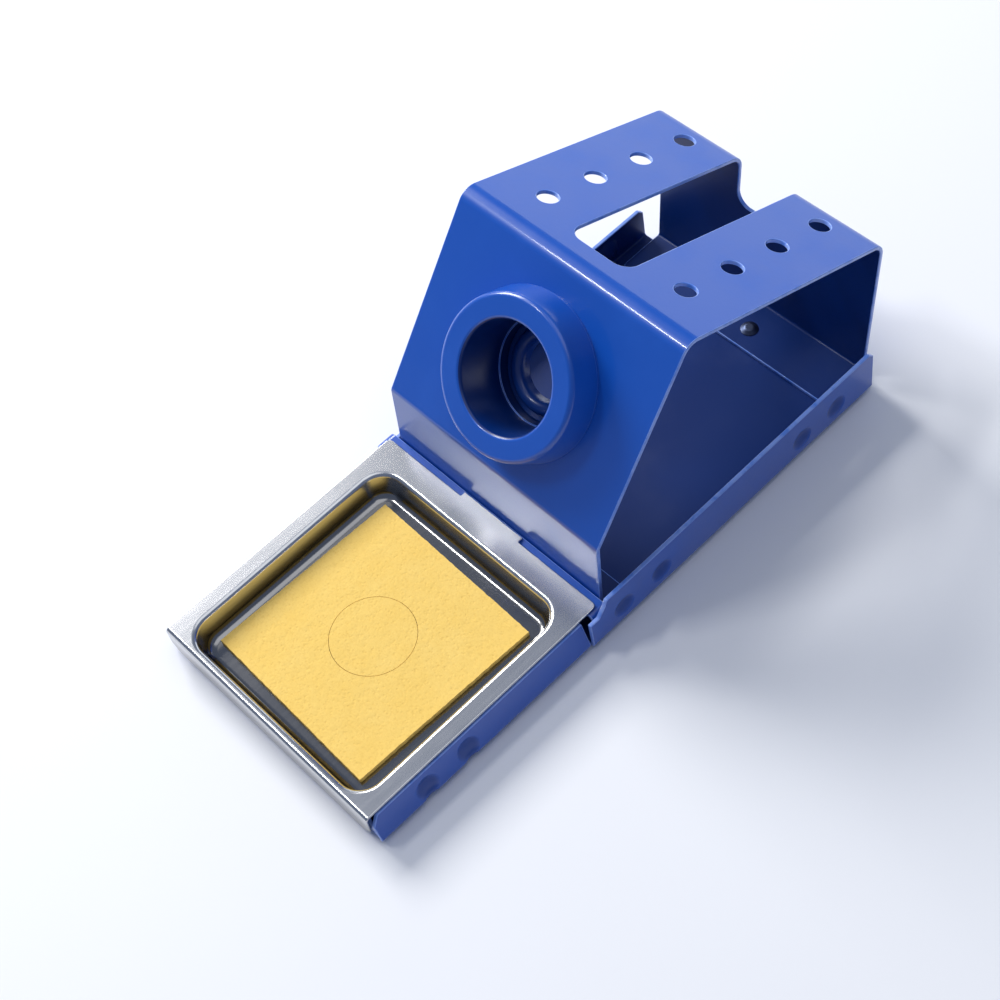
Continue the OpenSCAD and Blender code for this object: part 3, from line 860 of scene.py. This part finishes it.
def base_channel():
    low_top, high_top = flange_u(LOW_FLANGE_H, LEAN), flange_u(FLANGE_H, 0)
    left_top, left_low = flange_u(LEFT_FLANGE_H, 0), flange_u(LEFT_LOW_H, 0)
    step_z = LOW_FLANGE_H + 1.2
    # each outline point is (u, v, radius of its corner)
    front = [
        (FRONT_HALF - 2.4, FRONT_BEND - 1 - (FRONT_FLANGE_H - FLOOR_BEND), 0.8),
        (FRONT_HALF, FRONT_BEND - 1, 0), (FRONT_HALF, RELIEF_DEPTH, 0.2),
        (RELIEF_U, RELIEF_DEPTH, 0.1), (RELIEF_U, LOW_START, 0.2)]
    low = [
        (flange_u(LOW_FLANGE_H - 2.9, LEAN), LOW_START, 0.8), (low_top, LOW_START + 2.4, 0.8),
        (low_top, LOW_END, 0.3), (NOTCH_U, LOW_END, 0), (NOTCH_U, HIGH_START, 0)]
    right_high = [
        (flange_u(step_z, 0), HIGH_START, 0.3), (flange_u(step_z, 0), TRAY_LEN - 2.8, 0),
        (flange_u(step_z + 3, 0), TRAY_LEN - 0.4, 0), (high_top, TRAY_LEN + 0.5, 0.8),
        (high_top, BASE_LEN - 1.6, 0.6), (flange_u(FLANGE_H - 1.6, 0), BASE_LEN, 0.6)]
    left_high = [
        (left_low, HIGH_START, 0.3), (left_low, LEFT_RISE_START, 0.5), (left_top, LEFT_RISE_END, 0.8),
        (left_top, BASE_LEN - 1.6, 0.6), (flange_u(LEFT_FLANGE_H - 1.6, 0), BASE_LEN, 0.6)]
    tongue = [(HALF_COVER, BASE_LEN, 0), (HALF_COVER, TONGUE_END, 1.0)]
    right = front + low + right_high + tongue
    left = front + low + left_high + tongue
    outline = right + [(-u, v, r) for u, v, r in left[::-1]]
    outline = rounded([p[:2] for p in outline], [p[2] for p in outline])
    folds = [(0, side * (BEND_START + k / 8), -99, 999) for side in (1, -1) for k in range(9)]
    folds += [(1, FRONT_BEND - k / 6, -FRONT_HALF - 0.2, FRONT_HALF + 0.2) for k in range(7)]
    rings = [circle(u, v, r, 32) for u, v in DIMPLE_SPOTS for r in DIMPLE_RINGS]
    skin = Skin()
    # the mark gives the dimples an edge value below 0, which darkens the paint in them as painted shade
    sheet(skin, [outline] + [circle(x, y, RIVET_R, 24) for x, y in RIVETS], pressed_channel, SHEET_T, EDGE,
          folds, rings, mark=lambda u, v: -0.55 * min(1.0, 2 * dimple(u, v) / DIMPLE_DEPTH))
    skin.build("folded_base", PAINT, "stand", "base_channel", slot="blue_paint")


def cross_bar():
    fold = Fold([(-BAR_HALF, SHEET_T), (-BAR_HALF, LOW_FLANGE_H),
                 (BAR_HALF, LOW_FLANGE_H), (BAR_HALF, SHEET_T)],
                [0, BAR_BEND, BAR_BEND, 0])

    def place(u, v):
        (x, z), (nx, nz) = fold.at(v)
        return Vector((x, u, z)), Vector((nx, 0, nz))

    skin = Skin()
    outline = rounded([(BAR_FRONT, 0), (BAR_REAR, 0), (BAR_REAR, fold.length), (BAR_FRONT, fold.length)], 0.4)
    sheet(skin, [outline], place, SHEET_T, EDGE, fold.lines(0, 999))
    skin.build("cross_bar_sheet", PAINT, "stand", "cross_bar", slot="blue_paint")


# ---- cover -----------------------------------------------------------------

def bent_cover():
    fold = Fold([front_foot + Vector((FRONT_FOOT, 0)), front_foot, low_corner, high_corner,
                 rear_corner, back_foot, back_foot - Vector((BACK_FOOT, 0))],
                [0, FOOT_BEND, LOW_BEND, HIGH_BEND, HIGH_BEND, FOOT_BEND, 0])

    def rivet_hole(x, y):
        on_front = y < high_corner.x
        v = fold.run(0, FRONT_FOOT - (y - front_foot.x)) if on_front else fold.run(5, back_foot.x - y)
        return circle(x, v, RIVET_R, 24)

    slot_top, slot_low = fold.run(3, SLOT_START), fold.run(4, SLOT_DROP)
    outline = [(-HALF_COVER, 0), (HALF_COVER, 0), (HALF_COVER, fold.length), (-HALF_COVER, fold.length)]
    slot = [(-SLOT_HALF, slot_top), (SLOT_HALF, slot_top), (SLOT_HALF, slot_low), (-SLOT_HALF, slot_low)]
    loops = [rounded(outline, [1.5, 1.5, 2, 2]),
             rounded(slot, SLOT_R, math.radians(6)),
             circle(0, fold.run(2, socket_along()), TUBE_R + FIT, 96)]
    loops += [circle(x, fold.run(3, d), TIP_HOLE_R, 64) for d in TIP_PLACES for x in (TIP_ROW_X, -TIP_ROW_X)]
    loops += [rivet_hole(x, y) for x, y in RIVETS]
    skin = Skin()
    sheet(skin, loops, fold.across, SHEET_T, EDGE, fold.lines(-999, 999))
    skin.build("bent_cover", PAINT, "stand", "cover", slot="blue_paint")


# ---- iron socket -----------------------------------------------------------

def low_bend_reach():
    return LOW_BEND * math.tan((math.pi / 2 - STRIP_LEAN - INCLINE) / 2)


def high_bend_reach():
    return HIGH_BEND * math.tan((INCLINE + TOP_FALL) / 2)


def socket_along():
    """How far up the incline, from its lower corner, the socket sits."""
    return (low_bend_reach() + INCLINE_LEN - high_bend_reach()) / 2 - COLLAR_DROP


socket_spot = low_corner + socket_along() * Vector((math.cos(INCLINE), math.sin(INCLINE)))
ON_INCLINE = Matrix.Translation((0, socket_spot.x, socket_spot.y)) @ Matrix.Rotation(INCLINE, 4, "X")


def socket_collar():
    profile = [(BORE_R, -STOP_DEPTH), (RING_R + FIT, -STOP_DEPTH), (RING_R + FIT, -TUBE_TAIL),
               (TUBE_R, -TUBE_TAIL), (TUBE_R, 0), (SEAT_R, 0), (SEAT_R, SEAT_T),
               (COLLAR_R, COLLAR_H), (BORE_R, COLLAR_H)]
    radii = [0.1, 0.1, 0.4, 0.4, 0, 0.12, 0.28, COLLAR_ROUND, 1.2]
    skin = Skin()
    # the bore gets edge value -1, the same painted shade as an inner face
    lines = [(p, n, q, m, -1 if n.x < -0.5 and not edge else edge)
             for p, n, q, m, edge in contour(profile, radii)]
    sweep(skin, lines, turning(160), ON_INCLINE)
    skin.build("socket_collar_turned", PAINT, "stand", "socket_collar", slot="collar_paint")


def socket_ring():
    top, low = -RING_DEPTH, -RING_DEPTH - RING_H
    lip = 2 * RING_LIP
    profile = [(RING_BORE, low), (RING_R, low), (RING_R, low + 1.8), (RING_BORE + lip, low + 1.8),
               (RING_BORE + lip, top), (RING_BORE, top)]
    skin = Skin()
    lines = contour(profile, [0.4, 0.3, 0.3, 0.6, RING_LIP * 0.96, RING_LIP * 0.96])
    # the whole ring gets edge value -0.7, a painted shade deep in the socket
    sweep(skin, [(p, n, q, m, -0.7) for p, n, q, m, _ in lines], turning(128), ON_INCLINE)
    skin.build("socket_ring_turned", PAINT, "stand", "socket_ring", slot="collar_paint")


def socket_washer():
    profile = [(TUBE_R + FIT, -SHEET_T - WASHER_T), (NUT_R + 1, -SHEET_T - WASHER_T),
               (NUT_R + 1, -SHEET_T), (TUBE_R + FIT, -SHEET_T)]
    skin = Skin()
    sweep(skin, contour(profile, [0.15] * 4), turning(96), ON_INCLINE)
    skin.build("socket_washer_cut", FIBRE, "stand", "socket_washer", slot="fibre")


def socket_nut():
    notches, notch_r, half = 6, NUT_R - 1.4, 1.5
    wide, deep = math.asin(half / NUT_R), math.asin(half / notch_r)
    outline = []
    for k in range(notches):
        middle = math.tau * k / notches
        for a, r in ((-wide, NUT_R), (-deep, notch_r), (deep, notch_r), (wide, NUT_R)):
            outline.append((r * math.cos(middle + a), r * math.sin(middle + a)))
        for j in range(1, 10):
            a = middle + wide + (math.tau / notches - 2 * wide) * j / 10
            outline.append((NUT_R * math.cos(a), NUT_R * math.sin(a)))
    turned = ON_INCLINE.to_3x3()

    def place(u, v):
        return ON_INCLINE @ Vector((u, v, -SHEET_T - WASHER_T)), turned @ Vector((0, 0, 1))

    skin = Skin()
    sheet(skin, [outline, circle(0, 0, TUBE_R + FIT, 96)], place, NUT_H, 0.35)
    skin.build("socket_nut_plated", NUT_PLATE, "stand", "socket_nut", slot="nut_steel")


def rivets():
    low, top = -0.7, 2 * SHEET_T + 1
    profile = [(0, low), (RIVET_HEAD_R, low), (RIVET_HEAD_R, 0), (RIVET_R, 0), (RIVET_R, 2 * SHEET_T),
               (RIVET_HEAD_R, 2 * SHEET_T), (1.3, top), (0, top)]
    lines = contour(profile, [0, 0.2, 0.05, 0, 0, 0.12, 1.6, 0], closed=False)
    skin = Skin()
    for x, y in RIVETS:
        sweep(skin, lines, turning(40), Matrix.Translation((x, y, 0)))
    skin.build("rivet_heads", RIVET_PLATE_AND_SHADE, "stand", "floor_rivets", slot="rivet_steel")


def rubber_feet():
    profile = [(0, -0.8), (2.6, -0.8), (3.1, -FOOT_H), (5, -FOOT_H), (5, 0), (0, 0)]
    lines = contour(profile, [0, 0.3, 0.3, 0.5, 0.1, 0], closed=False)
    skin = Skin()
    for x in (HALF_W - 9, 9 - HALF_W):
        for y in (14, BASE_LEN - 19):
            sweep(skin, lines, turning(48), Matrix.Translation((x, y, 0)))
    skin.build("foot_pads", RUBBER, "stand", "rubber_feet", slot="foot_rubber")


# ---- tray ------------------------------------------------------------------

def facing(lines, way):
    """The lines with their normals turned up (way 1) or down (way -1)."""
    return [(p, n if n.y * way > 0 else -n, q, m if m.y * way > 0 else -m, edge)
            for p, n, q, m, edge in lines]


def sponge_tray():
    fold = Fold([(0, APRON_LOW), (0, RIM_TOP), (TRAY_LEN + 9, RIM_TOP)], [0, 1.4, 0])

    def on_rim(y):
        return fold.run(1, y)

    chamfer, low_r = 3, 0.6
    outline = rounded(
        [(chamfer - HALF_TRAY, 0), (HALF_TRAY - chamfer, 0), (HALF_TRAY, chamfer),
         (HALF_TRAY, on_rim(TRAY_LEN)), (TAB_HALF, on_rim(TRAY_LEN)), (TAB_HALF, on_rim(TRAY_LEN + TAB_OUT)),
         (-TAB_HALF, on_rim(TRAY_LEN + TAB_OUT)), (-TAB_HALF, on_rim(TRAY_LEN)),
         (-HALF_TRAY, on_rim(TRAY_LEN)), (-HALF_TRAY, chamfer)],
        [low_r, low_r, low_r, RIM_CORNER, 0.3, 0.3, 0.3, 0.3, RIM_CORNER, low_r])

    # the well's upper and lower face, measured out from the corner centres, from the rim to the floor
    rim_roll, floor_roll = 1.5, 2.6
    wall_low = WELL_CORNER - WELL_DRAFT
    flat_from = wall_low - 3.2
    slope = math.atan2(RIM_TOP - WELL_FLOOR, WELL_DRAFT)
    open_at = WELL_CORNER + rim_roll * math.tan(slope / 2)
    shift = TRAY_T * math.tan(slope / 2)
    up = [(open_at, RIM_TOP), (WELL_CORNER, RIM_TOP), (wall_low, WELL_FLOOR), (flat_from, WELL_FLOOR)]
    down = [(open_at, RIM_TOP - TRAY_T), (WELL_CORNER + shift, RIM_TOP - TRAY_T),
            (wall_low + shift, WELL_FLOOR - TRAY_T), (flat_from, WELL_FLOOR - TRAY_T)]

    ring = box_ring(WELL_HALF_X, WELL_HALF_Y, WELL_CORNER)
    opening = [(cx + ox * open_at, on_rim(WELL_MID + cy + oy * open_at)) for cx, cy, ox, oy in ring]
    skin = Skin()
    sheet(skin, [outline, opening], fold.across, TRAY_T, 0.32, fold.lines(-999, 999), open_holes=(1,))
    put = Matrix.Translation((0, WELL_MID, 0))
    for profile, thinner, way in ((up, 0, 1), (down, TRAY_T, -1)):
        radii = [0, rim_roll - thinner, floor_roll + thinner, 0]
        lines = contour(profile, radii, closed=False, step=math.radians(7))
        sweep(skin, facing(lines, way), ring, put)
    for z, way in ((WELL_FLOOR, 1), (WELL_FLOOR - TRAY_T, -1)):
        skin.face(*[(placed(cx + ox * flat_from, WELL_MID + cy + oy * flat_from, z), Vector((0, 0, way)), 0)
                    for cx, cy, ox, oy in ring])
    skin.build("pressed_tray", STEEL, "tray", "sponge_tray", slot="tray_steel")


# ---- sponge ----------------------------------------------------------------

IN_WELL = (Matrix.Translation((SPONGE_X, WELL_MID - SPONGE_AHEAD, WELL_FLOOR))
           @ Matrix.Rotation(SPONGE_TURN, 4, "Z"))


def foam(x, y, z, size):
    """Smooth noise from -1 to 1 whose lumps are about size wide."""
    return noise.noise(Vector((x / size, y / size, z / size)))


def pitted(x, y):
    """How far the sponge's face lies above or below its thickness."""
    coarse = foam(x, y, 3.1, 5.5) * 0.05
    lumps = foam(x, y * 1.5, 7.7, 1.5) * 0.045
    pit = max(0.0, foam(x, y, 11.3, 0.95) - 0.2) * -0.2
    return coarse + lumps + pit - 0.06


def ragged(loop, amount):
    """The loop pushed in and out as a torn cut is."""
    out = []
    for i, (x, y) in enumerate(loop):
        before, after = loop[i - 1], loop[(i + 1) % len(loop)]
        dx, dy = after[0] - before[0], after[1] - before[1]
        length = math.hypot(dx, dy)
        push = (foam(x, y, 21.0, 1.1) - 0.35) * amount
        out.append((x + dy / length * push, y - dx / length * push))
    return out


def dotted(loop, gap):
    """The loop with a point at least every gap along it."""
    out = []
    for i, p in enumerate(loop):
        q = loop[(i + 1) % len(loop)]
        count = max(1, round(math.dist(p, q) / gap))
        out += [(p[0] + (q[0] - p[0]) * k / count, p[1] + (q[1] - p[1]) * k / count) for k in range(count)]
    return out


def face_grid(loops, gap):
    """Points spread over a face with small shifts, about gap apart and clear of its edges."""
    low, high = np.min(loops[0], 0), np.max(loops[0], 0)
    grid = []
    for i, x in enumerate(np.arange(low[0] + gap * 0.7, high[0] - gap * 0.6, gap)):
        for y in np.arange(low[1] + gap * (0.7 + 0.5 * (i % 2)), high[1] - gap * 0.6, gap):
            grid.append((x + foam(x, y, 31.0, 0.7) * gap * 0.5, y + foam(x, y, 41.0, 0.7) * gap * 0.5))
    grid = np.array(grid)[within(grid, loops)]
    edge = np.array([p for loop in loops for p in loop])
    near = np.array([np.min(np.hypot(*(edge - p).T)) for p in grid])
    return [tuple(p) for p in grid[near > gap * 0.55]]


def cut_sponge(name, node, body, loops, gap=0.6):
    """A block of sponge cut to the loops, with a pitted face, rough sides and a flat underside."""
    points, faces, known = [], [], {}

    def corner(p, on_top):
        key = (round(p[0], 5), round(p[1], 5), on_top)
        if key not in known:
            known[key] = len(points)
            points.append((p[0], p[1], SPONGE_T + pitted(*p) if on_top else 0.0))
        return known[key]

    for triangle in face_triangles(loops, face_grid(loops, gap)):
        faces.append([corner(p, True) for p in triangle])
    for triangle in face_triangles(loops):
        faces.append([corner(p, False) for p in triangle][::-1])
    rows, roughness = 3, 0.12
    crease = set()
    for loop in loops:
        middle = Vector(np.mean(loop, 0))
        columns = []
        for p in loop:
            column = [corner(p, True)]
            for k in range(1, rows):
                z = SPONGE_T * (1 - k / rows)
                push = foam(p[0], p[1], z * 1.3 + 50, 0.9) * roughness
                way = (Vector(p) - middle).normalized() * push
                column.append(len(points))
                points.append((p[0] + way.x, p[1] + way.y, z))
            column.append(corner(p, False))
            columns.append(column)
        for i, column in enumerate(columns):
            ahead = columns[(i + 1) % len(columns)]
            crease.add(frozenset((column[0], ahead[0])))
            faces += [[column[k], column[k + 1], ahead[k + 1], ahead[k]] for k in range(rows)]
    mesh = bpy.data.meshes.new(name)
    mesh.from_pydata([placed(*(IN_WELL @ Vector(p))) for p in points], [], faces)
    mesh.polygons.foreach_set("use_smooth", [True] * len(mesh.polygons))
    for edge in mesh.edges:
        if frozenset(edge.vertices) in crease:
            edge.use_edge_sharp = True
    piece = dress(bpy.data.objects.new(name, mesh), FOAM, body, (node,))


def sponges():
    side = SPONGE_HALF - 0.12
    square = dotted([(-side, -side), (side, -side), (side, side), (-side, side)], 0.55)
    hole = circle(0, 0, DISC_R + 0.16, 140)
    disc = circle(0, 0, DISC_R + 0.02, 140)
    cut_sponge("sponge_cut_square", "sponge_pad", "sponge", [ragged(square, 0.14), hole[::-1]])
    cut_sponge("sponge_cut_disc", "sponge_disc", "disc", [disc])


# ---- studio ----------------------------------------------------------------

def studio_floor():
    floor_paint = Finish("floor_paint")
    floor_paint.set({
        "Specular IOR Level": 0.2,
        "Base Color": floor_paint.mix(floor_paint.noise(3, 2), (0.84, 0.85, 0.87), (0.86, 0.87, 0.89)),
        "Roughness": 0.75 + floor_paint.noise(40, 2) * 0.1
    })
    mesh = bpy.data.meshes.new("studio_floor")
    side = 3.0
    corners = [(-side, -side, 0), (side, -side, 0), (side, side, 0), (-side, side, 0)]
    mesh.from_pydata(corners, [], [(0, 1, 2, 3)])
    floor = bpy.data.objects.new("studio_floor", mesh)
    bpy.context.scene.collection.objects.link(floor)
    mesh.materials.append(floor_paint.material)


def lamp(name, place, aim, size, power, colour=(1, 1, 1)):
    light = bpy.data.lights.new(name, "AREA")
    light.shape, light.size, light.size_y = "RECTANGLE", size[0], size[1]
    light.energy, light.color = power, colour
    holder = bpy.data.objects.new(name, light)
    bpy.context.scene.collection.objects.link(holder)
    way = Vector(aim) - Vector(place)
    holder.matrix_world = Matrix.Translation(place) @ way.to_track_quat("-Z", "Y").to_matrix().to_4x4()


def studio():
    studio_floor()
    world = bpy.data.worlds.new("studio_air")
    world.use_nodes = True
    bpy.context.scene.world = world
    air = world.node_tree.nodes["Background"]
    air.inputs["Color"].default_value = (0.55, 0.68, 1.0, 1)
    air.inputs["Strength"].default_value = 0.30
    lamp("key_softbox", (-1.15, 0.06, 0.85), (0.0, 0.04, 0.0), (0.7, 0.55), 22.5, (1, 0.985, 0.96))
    lamp("edge_softbox", (-0.50, -0.36, 0.95), (0.0, 0.04, 0.05), (0.24, 0.06), 2.4)
    lamp("top_softbox", (0.25, 0.15, 1.5), (0.1, 0.05, 0), (1.2, 1.2), 4.5)
    lamp("back_screen", (-0.75, 1.10, 0.28), (0, 0.05, 0.05), (1.5, 0.5), 3.0, (0.9, 0.95, 1))


def camera():
    """A long lens above the right front corner, tipped a little to one side."""
    eye = Vector((0.24247, -0.16549, 0.43814))
    aim = Vector((0.00836, -0.01646, 0.03015))
    roll, focal_length, sensor = -0.24160, 68.96, 36
    forward = (aim - eye).normalized()
    right = forward.cross(Vector((0, 0, 1))).normalized()
    up = right.cross(forward)
    c, s = math.cos(roll), math.sin(roll)
    right, up = c * right + s * up, c * up - s * right
    lens = bpy.data.cameras.new("studio_camera")
    lens.sensor_width, lens.lens = sensor, focal_length
    lens.clip_start, lens.clip_end = 0.01, 20
    holder = bpy.data.objects.new("studio_camera", lens)
    bpy.context.scene.collection.objects.link(holder)
    turn = Matrix((right, up, -forward)).transposed().to_4x4()
    holder.matrix_world = Matrix.Translation(eye) @ turn
    bpy.context.scene.camera = holder


base_channel()
cross_bar()
bent_cover()
socket_collar()
socket_ring()
socket_washer()
socket_nut()
rivets()
rubber_feet()
sponge_tray()
sponges()
studio()
camera()
bpy.context.scene.view_settings.view_transform = "Standard"
